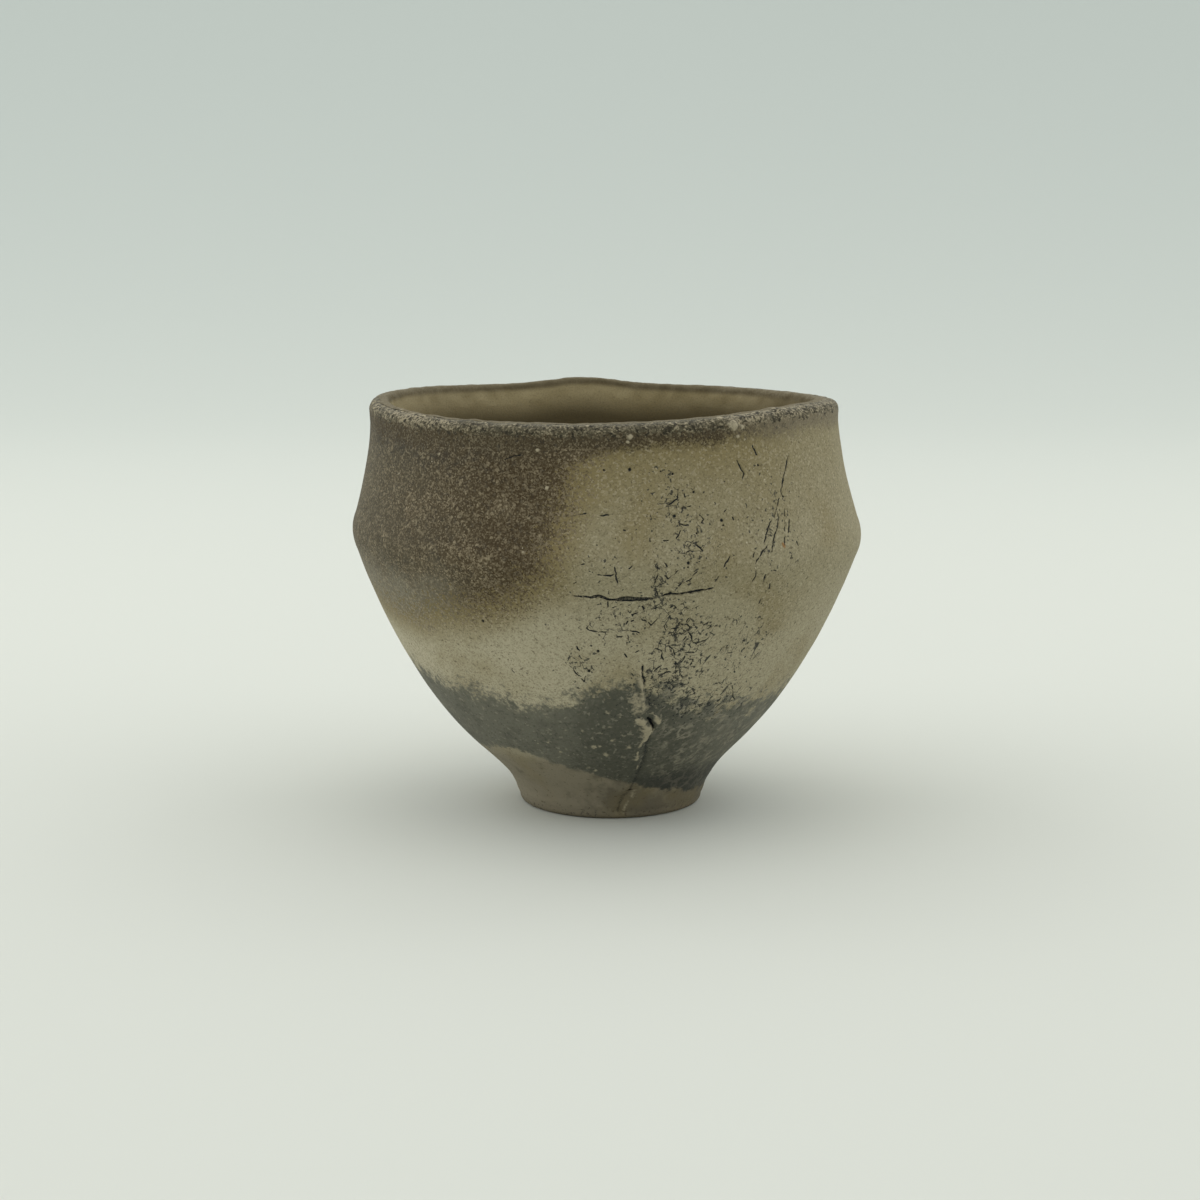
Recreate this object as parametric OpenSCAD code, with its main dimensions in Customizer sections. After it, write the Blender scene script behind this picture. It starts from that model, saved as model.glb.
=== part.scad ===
// Guinomi: a small sake cup of unglazed stoneware, formed by hand.
// Four clay parts are luted together: a foot ring, a lower bowl, an upper wall whose skirt laps
// down over the bowl's edge, and a lip coil. Nothing on the cup moves.
// Angles run round the cup from its front (-Y) towards its right (+X). The origin is on the table,
// under the middle of the keel. Sizes are in millimetres.

/* [Keel] */
// Diameter across the keel, the widest line of the cup, from side to side
keel_d = 66.4; // [60:0.2:72]
// Height of the keel above the table
keel_z = 36; // [33:0.1:38]
// How much higher the keel stands on the left than at the front
keel_tilt = 0.4; // [0:0.1:1]
// Thickness of the wall at the keel
keel_t = 3.6; // [2.8:0.1:4.4]
// Share of the width that the cup loses from front to back
oval_share = 0.012; // [0:0.001:0.03]
// Share of the width that the plan gains at its four soft corners
corner_share = 0.008; // [0:0.001:0.02]

/* [Lip] */
// Height of the lip's crest above the table, between its rises
lip_z = 52.4; // [50:0.1:56]
// Diameter of the lip, outside
lip_d = 60.4; // [56:0.2:63]
// Thickness of the lip coil
lip_t = 3.2; // [2.6:0.1:4]
// Height of the lip coil
lip_h = 2.8; // [2.2:0.1:3.6]
// How far the lip lies to the left of the keel's middle
lip_drift = 0.4; // [0:0.1:1]

/* [Bowl] */
// Thickness of the floor above the foot's recess
floor_t = 4.4; // [3.4:0.1:6]

/* [Foot] */
// Height of the foot ring, from the table to the bowl
foot_h = 4.2; // [3.4:0.1:5]
// Diameter of the foot ring where it meets the bowl
foot_top_d = 26.4; // [26:0.1:29]
// Diameter of the foot ring's neck
neck_d = 25; // [24.2:0.1:26]
// Height of the neck above the table
neck_z = 2.6; // [2:0.1:3]
// Diameter of the foot ring at the table
foot_d = 24; // [22:0.1:24.2]
// Diameter of the recess under the foot
recess_d = 15.2; // [12:0.1:17]
// Rounding of the foot ring's two lower edges
foot_edge_r = 0.9; // [0.5:0.1:1.2]
// How far the foot lies to the right of the keel's middle
foot_drift = 0.5; // [0:0.1:1]

/* [Hidden] */

// Counts of facets round the cup and of rows along each stretch of a part's section
columns = 72;
flank_rows = 13;
skirt_rows = 2;
wall_rows = 8;
well_rows = 9;
lip_rows = 9;
foot_arc_rows = 5;

// Where the bowl's flank bellies out and the upper wall draws in: each curve's bend, as shares of
// its run outwards or inwards and of its rise
belly_shares = [0.665, 0.345];
waist_shares = [0.88, 0.63];
// Radius of the flat of the well, as a share of the inner radius at the keel
well_share = 0.70;
// Share of the flank's curve that belongs to the bowl: the upper wall's skirt covers the rest
bowl_share = 0.93;
// The lip's rises: the angle of each one, the angle that it spreads over, and how high it stands as a
// share of the coil's thickness
lip_rise_angles = [58, 186, 260];
lip_rise_spreads = [28, 9, 30];
lip_rise_shares = [0.36, 0.27, 0.25];
// How fast the foot's drift fades with height
drift_fade = 8;

keel_r = keel_d / 2;
lip_r = lip_d / 2;
foot_top_r = foot_top_d / 2;
well_z = foot_h + floor_t;
full_turn = 360;
half_turn = full_turn / 2;
quarter_turn = full_turn / 4;

// A point on a quadratic curve from a to c that bends towards b
function curve(a, b, c, t) = (1 - t) * (1 - t) * a + 2 * t * (1 - t) * b + t * t * c;

// The plan's radius at an angle, as a share of its radius at the side
function plan(angle) = 1 - oval_share * pow(cos(angle), 2) + corner_share * pow(sin(2 * angle), 2);

// The smaller angle between two directions, each from zero to a full turn
function apart(angle, other) = half_turn - abs(half_turn - abs(angle - other));

// Height of the lip's crest at an angle
function crest_z(angle) = lip_z + lip_t * lip_rise_shares * [
    for (i = [0 : len(lip_rise_angles) - 1])
        exp(-pow(apart(angle, lip_rise_angles[i]) / lip_rise_spreads[i], 2) / 2)
];

// How far the clay at a height lies to the right of the keel's middle
function drift(z) = z < keel_z
    ? foot_drift * pow(1 - max(z - foot_h, 0) / (keel_z - foot_h), drift_fade)
    : -lip_drift * (z - keel_z) / (lip_z - keel_z);

// A section's point, a radius and a height, turned to its angle round the cup
function turned(p, angle) = [p.x * sin(angle) + drift(p.y), -p.x * cos(angle), p.y];

// The points that the parts' sections share, at an angle
function keel_at(angle) = [keel_r * plan(angle), keel_z - keel_tilt * sin(angle)];
function keel_inside_at(angle) = keel_at(angle) - [keel_t, 0];
function seat_at(angle) = [foot_top_r, foot_h];
function lip_foot_at(angle) = [lip_r * plan(angle), crest_z(angle) - lip_h];
function lip_foot_inside_at(angle) = lip_foot_at(angle) - [lip_t, 0];

// A curve's bend: shares of the way from a to b, outwards and upwards
function bend(a, b, shares) = a + [(b.x - a.x) * shares.x, (b.y - a.y) * shares.y];

// The bowl's outside, from the seat at 0 to the keel at 1
function flank(angle, t) =
    let (a = seat_at(angle), b = keel_at(angle))
    curve(a, bend(a, b, belly_shares), b, t);

// The upper wall's outside and inside, from the keel at 0 to the lip coil at 1
function wall_outside(angle, t) =
    let (a = keel_at(angle), b = lip_foot_at(angle))
    curve(a, bend(a, b, waist_shares), b, t);
function wall_inside(angle, t) =
    let (a = keel_inside_at(angle), b = lip_foot_inside_at(angle))
    curve(a, bend(a, b, waist_shares), b, t);

// The bowl's inside, from the middle of the well at 0 to the keel at 1
function well(angle, t) =
    let (b = keel_inside_at(angle))
    curve([0, well_z], [b.x * well_share, well_z], b, t);

// Each part's section at an angle, outside first and upwards, then inside and downwards
function bowl_section(angle) = concat(
    [for (i = [0 : flank_rows]) flank(angle, bowl_share * i / flank_rows)],
    [for (i = [well_rows : -1 : 1]) well(angle, i / well_rows)]
);
function wall_section(angle) = concat(
    [for (i = [0 : skirt_rows - 1]) flank(angle, bowl_share + (1 - bowl_share) * i / skirt_rows)],
    [for (i = [0 : wall_rows]) wall_outside(angle, i / wall_rows)],
    [for (i = [wall_rows : -1 : 0]) wall_inside(angle, i / wall_rows)]
);
function lip_section(angle) =
    let (outer = lip_foot_at(angle), middle = outer - [lip_t / 2, 0])
    concat(
        [outer],
        [for (i = [0 : lip_rows])
            let (turn = half_turn * i / lip_rows)
            middle + [cos(turn) * lip_t / 2, lip_h - lip_t / 2 + sin(turn) * lip_t / 2]],
        [lip_foot_inside_at(angle)]
    );

// All the points of a section as it goes round the cup
function lofted(sections) = [
    for (i = [0 : columns - 1]) for (p = sections[i]) turned(p, full_turn * i / columns)
];

// Two triangles on a four-cornered patch, cut along its shorter diagonal
function halves(points, q) =
    norm(points[q[0]] - points[q[2]]) <= norm(points[q[1]] - points[q[3]])
        ? [[q[0], q[1], q[2]], [q[0], q[2], q[3]]]
        : [[q[1], q[2], q[3]], [q[1], q[3], q[0]]];

// The skin between rows first and last of every section
function skin(points, rows, first, last) = [
    for (i = [0 : columns - 1], j = [first : last])
        let (here = i * rows, beside = ((i + 1) % columns) * rows, above = (j + 1) % rows)
        each halves(points, [here + j, here + above, beside + above, beside + j])
];

// A ring whose sections are closed loops
module ring_solid(sections) {
    rows = len(sections[0]);
    points = lofted(sections);
    polyhedron(points, skin(points, rows, 0, rows - 1));
}

// A dish whose sections run from the edge of its flat base, round its rim, to the edge of its well
module dish_solid(sections, base_z, floor_z) {
    rows = len(sections[0]);
    around = lofted(sections);
    base = len(around);
    points = concat(around, [[drift(base_z), 0, base_z], [drift(floor_z), 0, floor_z]]);
    fans = [
        for (i = [0 : columns - 1])
            let (here = i * rows, beside = ((i + 1) % columns) * rows)
            each [[base, here, beside], [base + 1, beside + rows - 1, here + rows - 1]]
    ];
    polyhedron(points, concat(skin(points, rows, 0, rows - 2), fans));
}

function around(section) = [for (i = [0 : columns - 1]) section(full_turn * i / columns)];

// Points of an arc about a centre
function arc(centre, radius, from, to) = [
    for (i = [0 : foot_arc_rows])
        let (turn = from + (to - from) * i / foot_arc_rows)
        centre + radius * [cos(turn), sin(turn)]
];

// Foot ring: a coil with rounded lower edges and a neck that sweeps out to the bowl's seat
module foot_ring() {
    inner_edge = [recess_d / 2 + foot_edge_r, foot_edge_r];
    outer_edge = [foot_d / 2 - foot_edge_r, foot_edge_r];
    neck = [neck_d / 2, neck_z];
    seat = [foot_top_r, foot_h];
    sweep = [neck.x, (neck.y + seat.y) / 2];
    section = concat(
        arc(inner_edge, foot_edge_r, half_turn, half_turn + quarter_turn),
        arc(outer_edge, foot_edge_r, -quarter_turn, 0),
        [for (i = [0 : foot_arc_rows]) curve(neck, sweep, seat, i / foot_arc_rows)],
        [[recess_d / 2, foot_h]]
    );
    color("#7a6d5a") translate([foot_drift, 0, 0]) rotate_extrude($fn = columns) polygon(section);
}

// Lower bowl: floor, well and flank, with a bevelled edge that the upper wall laps over
module lower_bowl() {
    color("#8c816a") dish_solid(around(function(angle) bowl_section(angle)), foot_h, well_z);
}

// Upper wall: a strip that leans in from the keel, with a skirt below the keel
module upper_wall() {
    color("#746953") ring_solid(around(function(angle) wall_section(angle)));
}

// Lip coil: a round-topped coil along the wall's upper edge, with rises left by the fingers
module lip_coil() {
    color("#5f564a") ring_solid(around(function(angle) lip_section(angle)));
}

foot_ring();
lower_bowl();
upper_wall();
lip_coil();
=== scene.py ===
import math

import bpy
import numpy as np
from mathutils import Euler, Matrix, Vector, kdtree, noise
from mathutils.bvhtree import BVHTree


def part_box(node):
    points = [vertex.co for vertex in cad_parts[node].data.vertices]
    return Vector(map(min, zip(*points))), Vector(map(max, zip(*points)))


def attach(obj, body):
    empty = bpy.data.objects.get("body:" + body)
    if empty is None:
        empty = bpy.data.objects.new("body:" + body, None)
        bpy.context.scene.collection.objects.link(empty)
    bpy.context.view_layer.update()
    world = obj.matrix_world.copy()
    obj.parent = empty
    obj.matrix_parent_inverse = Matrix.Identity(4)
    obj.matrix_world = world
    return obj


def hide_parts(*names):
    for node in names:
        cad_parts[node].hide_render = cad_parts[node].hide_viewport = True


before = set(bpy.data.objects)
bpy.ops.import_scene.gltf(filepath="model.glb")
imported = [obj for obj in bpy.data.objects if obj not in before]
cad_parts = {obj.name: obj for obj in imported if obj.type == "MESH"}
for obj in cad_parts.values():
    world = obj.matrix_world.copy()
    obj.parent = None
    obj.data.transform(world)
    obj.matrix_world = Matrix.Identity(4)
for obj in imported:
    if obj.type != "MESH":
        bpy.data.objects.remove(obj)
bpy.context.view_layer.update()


# Camera
# A long lens looks down at the cup from a little above its lip. Its place also tells which point of
# the cup shows at a pixel of the photograph, and the marks on the clay are placed by that.
MM = 0.001
photo_side = 1200
lens_mm = 75
sensor_mm = 36
eye = Vector((-0.0009, -0.3231, 0.0834))
look_down = 9.99
gaze = Euler((math.radians(90 - look_down), 0, 0))

camera_data = bpy.data.cameras.new("camera")
camera_data.lens = lens_mm
camera_data.sensor_width = sensor_mm
camera = bpy.data.objects.new("camera", camera_data)
camera.location = eye
camera.rotation_euler = gaze
bpy.context.scene.collection.objects.link(camera)
bpy.context.scene.camera = camera


def skin_of(*pieces):
    """The surface of some pieces, ready to be met by a ray or a near point."""
    corners = []
    faces = []
    for piece in pieces:
        first = len(corners)
        corners += [vertex.co.copy() for vertex in piece.data.vertices]
        faces += [[first + corner for corner in face.vertices] for face in piece.data.polygons]
    return BVHTree.FromPolygons(corners, faces)


cad_skin = skin_of(*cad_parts.values())


def on_cup(pixel):
    """The point of the cup that shows at a pixel of the photograph."""
    per_pixel = sensor_mm / lens_mm / photo_side
    ray = Vector(((pixel[0] - photo_side / 2) * per_pixel, (photo_side / 2 - pixel[1]) * per_pixel, -1))
    ray.rotate(gaze)
    place = cad_skin.ray_cast(eye, ray.normalized())[0]
    if place is None:
        raise ValueError(f"pixel {pixel} misses the cup")
    return place


def round_cup(pixel):
    """The angle from the cup's front, in degrees, and the height in mm that show at a pixel."""
    place = on_cup(pixel)
    return math.degrees(math.atan2(place.x, -place.y)), place.z / MM


# Foot ring
# A coil of the same stoneware, set under the bowl while both were leather-hard. Its lower edges are
# wiped round, and its neck is smoothed up into the bowl, so that only one crooked seam shows.
columns = 420
same_point = MM / 1000
seat_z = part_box("foot_ring")[1].z / MM
foot_r = 12.0
foot_edge_r = 0.9
recess_r = 7.6
neck = (12.4, 1.8)
neck_bend = (12.85, 4.05)
flank_start = (17.2, 8.15)
seat_share = 0.45


def bent(start, bend, end, steps, low=0, high=1):
    """Points on the stretch from low to high of a curve that bends towards its middle point."""
    shares = [low + (high - low) * step / steps for step in range(steps + 1)]
    return [
        tuple((1 - t) ** 2 * a + 2 * t * (1 - t) * b + t * t * c for a, b, c in zip(start, bend, end))
        for t in shares
    ]


def straight(start, end, steps):
    """Points on the line from start to end."""
    return bent(start, tuple((a + b) / 2 for a, b in zip(start, end)), end, steps)


def turned(name, outline):
    """A piece as the wheel turns it: its outline, radii and heights in mm, spun round the axis."""
    points = [Vector((radius, 0, height)) * MM for radius, height in outline]
    bpy.ops.object.select_all(action="DESELECT")
    bpy.ops.mesh.primitive_plane_add(size=MM, location=points[0])
    bpy.ops.object.transform_apply(location=True)
    piece = bpy.context.object
    piece.name = name
    bpy.ops.object.mode_set(mode="EDIT")
    bpy.ops.mesh.select_mode(type="VERT")
    bpy.ops.mesh.merge(type="CENTER")
    for before, after in zip(points, points[1:]):
        if (after - before).length > same_point:
            bpy.ops.mesh.extrude_vertices_move(TRANSFORM_OT_translate={"value": after - before})
    bpy.ops.object.mode_set(mode="OBJECT")
    wheel = piece.modifiers.new("wheel", "SCREW")
    wheel.steps = columns
    wheel.render_steps = columns
    wheel.use_merge_vertices = True
    bpy.ops.object.modifier_apply(modifier=wheel.name)
    bpy.ops.object.mode_set(mode="EDIT")
    bpy.ops.mesh.select_all(action="SELECT")
    bpy.ops.mesh.remove_doubles(threshold=same_point)
    bpy.ops.mesh.normals_make_consistent(inside=False)
    bpy.ops.object.mode_set(mode="OBJECT")
    return piece


# How the hands left the cup: a plan that is a little oval with four soft corners, a keel that stands
# higher on the left, a lip with three rises, and a foot and a lip that lie off the middle
keel_z = 36.0
lip_foot_z = 49.6
lip_z = 52.4
oval_share = 0.012
corner_share = 0.008
keel_tilt = 0.4
foot_drift = 0.5
foot_drift_fade = 8
lip_drift = 0.4
lip_rises = [(58, 28, 1.15), (-174, 9, 0.86), (-100, 30, 0.80)]
lip_thin_angle = -95
lip_thin_spread = 40
lip_thin_depth = 0.7
finger_depth = 0.16
finger_span = 13
finger_inside = 1.5
press_depth = 0.045
press_span = 3.2
lip_rough = 0.10
lip_rough_span = 1.5
lip_rough_run = 2
lip_rough_shift = Vector((7, 3, 5))
still_foot_run = 2
still_middle_r = 5
# What lies above the well's floor and nearer the axis than these radii, at these heights, is inside
well_z = 8.6
inner_foot_z = well_z - 1
inner_heights = (well_z, 30.0, keel_z, lip_z)
inner_radii = (15.0, 29.0, 31.0, 28.4)


def apart(angle, other):
    """How far an angle lies past another, in degrees, the shorter way round."""
    return (angle - other + 180) % 360 - 180


def points_of(piece):
    """A piece's points in mm, one row each."""
    points = np.empty(len(piece.data.vertices) * 3)
    piece.data.vertices.foreach_get("co", points)
    return points.reshape(-1, 3) / MM


def painted(piece, layer, amounts):
    """Keeps an amount at each point of a piece, for its material."""
    attributes = piece.data.attributes
    attribute = attributes.get(layer) or attributes.new(layer, "FLOAT", "POINT")
    attribute.data.foreach_set("value", np.asarray(amounts, dtype=np.float32))


def amounts_of(piece, layer):
    """The amounts kept at the points of a piece, or zero where it keeps none."""
    amounts = np.zeros(len(piece.data.vertices), dtype=np.float32)
    if layer in piece.data.attributes:
        piece.data.attributes[layer].data.foreach_get("value", amounts)
    return amounts


def formed(piece):
    """Works a turned piece by hand, and keeps how deep under the lip its points were turned."""
    points = points_of(piece)
    x, y, z = points.T.copy()
    turn = np.arctan2(x, -y)
    up_bowl = np.clip((z - seat_z) / (keel_z - seat_z), 0, 1)
    up_wall = np.clip((z - keel_z) / (lip_foot_z - keel_z), 0, 1)
    plan = 1 + up_bowl * (corner_share * np.sin(2 * turn) ** 2 - oval_share * np.cos(turn) ** 2)
    rise = np.zeros(len(z))
    for angle, spread, height in lip_rises:
        rise += height * np.exp(-((apart(np.degrees(turn), angle) / spread) ** 2) / 2)
    at_lip = np.clip((z - lip_foot_z) / lip_rough_run + 0.5, 0, 1)
    radial = np.zeros(len(z))
    upward = np.zeros(len(z))
    for index, point in enumerate(points):
        place = Vector(point)
        rough = at_lip[index] * noise.noise(place / lip_rough_span)
        radial[index] = (
            finger_depth * noise.noise(place / finger_span)
            + press_depth * noise.noise(place / press_span)
            + lip_rough * rough
        )
        upward[index] = lip_rough * at_lip[index] * noise.noise(place / lip_rough_span + lip_rough_shift)
    radius = np.hypot(x, y)
    inner = (z > inner_foot_z) & (radius < np.interp(z, inner_heights, inner_radii))
    thin = np.exp(-((apart(np.degrees(turn), lip_thin_angle) / lip_thin_spread) ** 2) / 2)
    to_lip = (z - keel_z) / (lip_z - keel_z)
    radial *= 1 + finger_inside * inner
    radial += inner * np.clip(to_lip, 0, 1) * lip_thin_depth * thin
    free = np.clip((z - foot_edge_r) / still_foot_run, 0, 1) * np.clip(radius / still_middle_r, 0, 1)
    worked = radius * plan + radial * free
    drift = np.where(z < keel_z, foot_drift * (1 - up_bowl) ** foot_drift_fade, -lip_drift * to_lip)
    points[:, 0] = worked * np.sin(turn) + drift
    points[:, 1] = -worked * np.cos(turn)
    points[:, 2] = z - keel_tilt * np.sin(turn) * up_bowl ** 2 * (1 - up_wall) + rise * up_wall + upward
    piece.data.vertices.foreach_set("co", (points * MM).ravel())
    piece.data.update()
    painted(piece, "below_lip", lip_z - z)
    painted(piece, "inner", inner)
    return piece


def routed(route, spacing=0.08):
    """Points close together along a route of pixels, each with its share of the way."""
    places = [on_cup(pixel) for pixel in route]
    if len(places) == 1:
        return [(places[0], 0.5)]
    lengths = [(after - before).length for before, after in zip(places, places[1:])]
    whole = sum(lengths)
    samples = []
    done = 0
    for before, after, length in zip(places, places[1:], lengths):
        count = max(1, math.ceil(length / (spacing * MM)))
        for step in range(count):
            share = step / count
            samples.append((before.lerp(after, share), (done + length * share) / whole))
        done += length
    return samples


most_divisions = 4


def divided(piece, tree, reaches, size):
    """Divides the faces of a piece that lie within reach of a tree's points, each with its own reach.

    It stops when they are about as small as size, in mm.
    """
    most_area = 2 * (size * MM) ** 2
    bpy.ops.object.select_all(action="DESELECT")
    piece.select_set(True)
    bpy.context.view_layer.objects.active = piece
    for _ in range(most_divisions):
        bpy.ops.object.mode_set(mode="EDIT")
        bpy.ops.mesh.select_mode(type="FACE")
        bpy.ops.mesh.select_all(action="DESELECT")
        bpy.ops.object.mode_set(mode="OBJECT")
        faces = piece.data.polygons
        areas = np.empty(len(faces))
        centres = np.empty(len(faces) * 3)
        faces.foreach_get("area", areas)
        faces.foreach_get("center", centres)
        centres = centres.reshape(-1, 3)
        chosen = np.zeros(len(faces), dtype=bool)
        for index in np.flatnonzero(areas > most_area):
            _, nearest, gap = tree.find(centres[index])
            chosen[index] = gap < reaches[nearest] + math.sqrt(areas[index])
        if not chosen.any():
            break
        faces.foreach_set("select", chosen)
        bpy.ops.object.mode_set(mode="EDIT")
        bpy.ops.mesh.subdivide(number_cuts=1)
        bpy.ops.object.mode_set(mode="OBJECT")


def tree_of(places):
    """Points that can be searched for the nearest one."""
    tree = kdtree.KDTree(len(places))
    for index, place in enumerate(places):
        tree.insert(place, index)
    tree.balance()
    return tree


# How a mark wanders, swells and tapers on its way, and how many of its half widths it reaches
mark_gap = 0.9
jag_span = 0.45
jag_depth = 0.09
jag_shifts = [Vector((0, 0, 0)), Vector((17, 5, 11)), Vector((3, 29, 13))]
swell_span = 0.8
swell_share = 1.1
least_swell = 0.35
most_swell = 1.5
taper_start = 0.25
taper_rate = 6
mark_widths = 2


def scored(piece, marks, size):
    """Works marks into a piece: each is a route of pixels, a half width, a height and a tint share.

    Sizes are in mm. A mark below the surface is a crack, and one above it is a ridge or a lump. The
    faces near the marks are first divided until they are about as small as size.
    """
    skin = skin_of(piece)
    samples = []
    for route, half_width, height, tint in marks:
        for place, share in routed(route):
            near, _, _, gap = skin.find_nearest(place)
            if gap > mark_gap * MM:
                continue
            spot = near / (jag_span * MM)
            jag = Vector([noise.noise(spot + shift) for shift in jag_shifts]) * jag_depth * MM
            swell = 1 + swell_share * noise.noise(near / (swell_span * MM))
            swell = min(most_swell, max(least_swell, swell))
            taper = 1 if len(route) == 1 else min(1, taper_start + taper_rate * min(share, 1 - share))
            samples.append((near + jag, half_width * taper * swell * MM, height * taper * MM, tint))
    reaches = [mark_widths * sample[1] for sample in samples]
    reach = max(reaches)
    tree = tree_of([sample[0] for sample in samples])
    divided(piece, tree, reaches, size)
    points = points_of(piece) * MM
    normals = np.empty(points.size)
    piece.data.vertices.foreach_get("normal", normals)
    moves = np.zeros(len(points))
    cleft = np.zeros(len(points))
    scar = np.zeros(len(points))
    for index, point in enumerate(points):
        if tree.find(point)[2] > reach:
            continue
        down = up = 0
        for _, mark, gap in tree.find_range(point, reach):
            _, half_width, height, tint = samples[mark]
            share = math.exp(-((gap / half_width) ** 2))
            if height < 0:
                down = min(down, height * share)
                cleft[index] = max(cleft[index], share * tint)
            else:
                up = max(up, height * share)
                scar[index] = max(scar[index], share * tint)
        moves[index] = down + up
    points += normals.reshape(-1, 3) * moves[:, None]
    piece.data.vertices.foreach_set("co", points.ravel())
    piece.data.update()
    painted(piece, "cleft", np.maximum(cleft, amounts_of(piece, "cleft")))
    painted(piece, "scar", np.maximum(scar, amounts_of(piece, "scar")))


# The edges of the smoke and of the ash shadow at the front are read from the photograph. Round the
# back they are made up, as angles from the front in degrees and heights in mm. The crackle lies in
# spots, each a pixel, a half width and a half height in mm, and an amount.
smoke_right = [(619, 443), (591, 453), (574, 463), (562, 498), (555, 524), (548, 549), (543, 575)]
smoke_bottom = [(543, 578), (522, 590), (500, 599), (470, 603), (436, 602), (410, 608)]
smoke_bottom_back = [(-76, 29.5), (-92, 32.5), (-108, 28.5), (-124, 32.0), (-142, 28.5), (-170, 36.0)]
smoke_left_back = [(-126, 30), (-141, 34), (-158, 38), (-167, 42), (-160, 46), (-170, 50), (-176, 53)]
smoke_round = 1.5
ash_top = [
    (419, 667), (453, 687), (483, 691), (505, 700), (522, 708), (548, 706), (574, 700), (591, 693),
    (619, 687), (643, 683), (670, 689), (690, 700), (729, 706), (755, 702), (769, 697),
]
ash_top_back = [(100, 16.5), (130, 14.0), (165, 18.0), (-160, 21.0), (-130, 19.0), (-100, 20.5)]
ash_bottom = [(514, 747), (552, 762), (584, 772), (619, 781), (640, 786), (682, 790), (703, 783)]
ash_wipe = 5.0
ash_bottom_back = [(110, 5.5), (150, 6.5), (-170, 9.0), (-130, 6.5), (-105, 9.5), (-85, 7.5)]
crackle_spots = [
    ((682, 640), 5.5, 5.5, 0.57), ((672, 676), 5.0, 4.5, 0.58), ((700, 700), 9.0, 4.0, 0.53),
    ((658, 585), 1.6, 4.0, 0.58), ((665, 606), 5.5, 2.5, 0.52), ((625, 625), 7.0, 4.0, 0.46),
    ((690, 545), 5.5, 7.5, 0.48), ((672, 505), 4.5, 5.5, 0.47), ((775, 530), 5.5, 11.0, 0.43),
    ((742, 645), 7.0, 7.0, 0.46), ((582, 665), 3.5, 3.5, 0.46), ((605, 572), 5.0, 4.0, 0.41),
]


def height_round(angle, front, back):
    """The height in mm, at an angle, of an edge through the pixels at the front and the places behind."""
    angles, heights = zip(*sorted([round_cup(pixel) for pixel in front] + back))
    return np.interp(angle, angles, heights, period=360)


def fired(piece):
    """Keeps how far inside the smoke, the ash shadow and the crackle each point of a piece lies."""
    x, y, z = points_of(piece).T
    angle = np.degrees(np.arctan2(x, -y))
    arc = np.radians(1) * np.hypot(x, y)
    right_heights, right_angles = zip(*sorted(round_cup(pixel)[::-1] for pixel in smoke_right))
    left_angles, left_heights = zip(*smoke_left_back)
    sides = [
        (np.interp(z, right_heights, right_angles) - angle) * arc,
        z - height_round(angle, smoke_bottom, smoke_bottom_back),
        (angle - np.interp(z, left_heights, left_angles)) * arc,
    ]
    painted(piece, "smoke", -smoke_round * np.log(sum(np.exp(-side / smoke_round) for side in sides)))
    under_top = height_round(angle, ash_top, ash_top_back) - z
    over_bottom = z - height_round(angle, ash_bottom, ash_bottom_back)
    painted(piece, "ash", np.minimum(under_top, ash_wipe * over_bottom))
    crackle = np.zeros(len(z))
    for pixel, wide, tall, amount in crackle_spots:
        turn, height = round_cup(pixel)
        away = apart(angle, turn) * arc
        crackle = np.maximum(crackle, amount * np.exp(-((away / wide) ** 2 + ((z - height) / tall) ** 2) / 2))
    painted(piece, "crackle", crackle)


def tone(red, green, blue):
    """A colour given as screen values from 0 to 255, in the shader's own light values."""
    return tuple(((part / 255 + 0.055) / 1.055) ** 2.4 for part in (red, green, blue)) + (1,)


pale_beige = tone(185, 177, 151)
beige = tone(151, 143, 115)
olive = tone(132, 119, 82)
foot_brown = tone(140, 132, 113)
foot_shade = tone(110, 103, 87)
foot_edge = tone(118, 110, 92)
sand = tone(196, 186, 160)
dark_sand = tone(92, 83, 62)
smoke_dark = tone(61, 48, 27)
smoke_grey = tone(75, 69, 54)
smoke_haze = tone(100, 89, 69)
smoke_thin = tone(128, 124, 108)
smoke_brown = tone(104, 90, 62)
smoke_sand = tone(182, 168, 138)
ash_dark = tone(85, 85, 74)
ash_light = tone(126, 124, 110)
ash_fold = tone(150, 144, 126)
# A dark soot colour, also used for painted shade in the neck's crease, the split and the hollows beside the
# scar.
soot_and_shade = tone(38, 41, 42)
rust = tone(138, 98, 52)
rust_place = on_cup((784, 545))
rust_r = 0.45
lip_grey = tone(76, 71, 55)
lip_sand = tone(166, 155, 128)
lip_pit = tone(44, 40, 30)
lip_smoke_shade = tone(66, 56, 39)
lip_taupe = tone(120, 111, 91)
well_olive = tone(175, 162, 126)
# The colour of the painted shade in the band inside under the lip
well_shade = tone(95, 86, 63)
well_deep = tone(182, 169, 136)
well_edge = tone(106, 96, 72)
scar_pale = tone(178, 168, 142)


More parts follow.
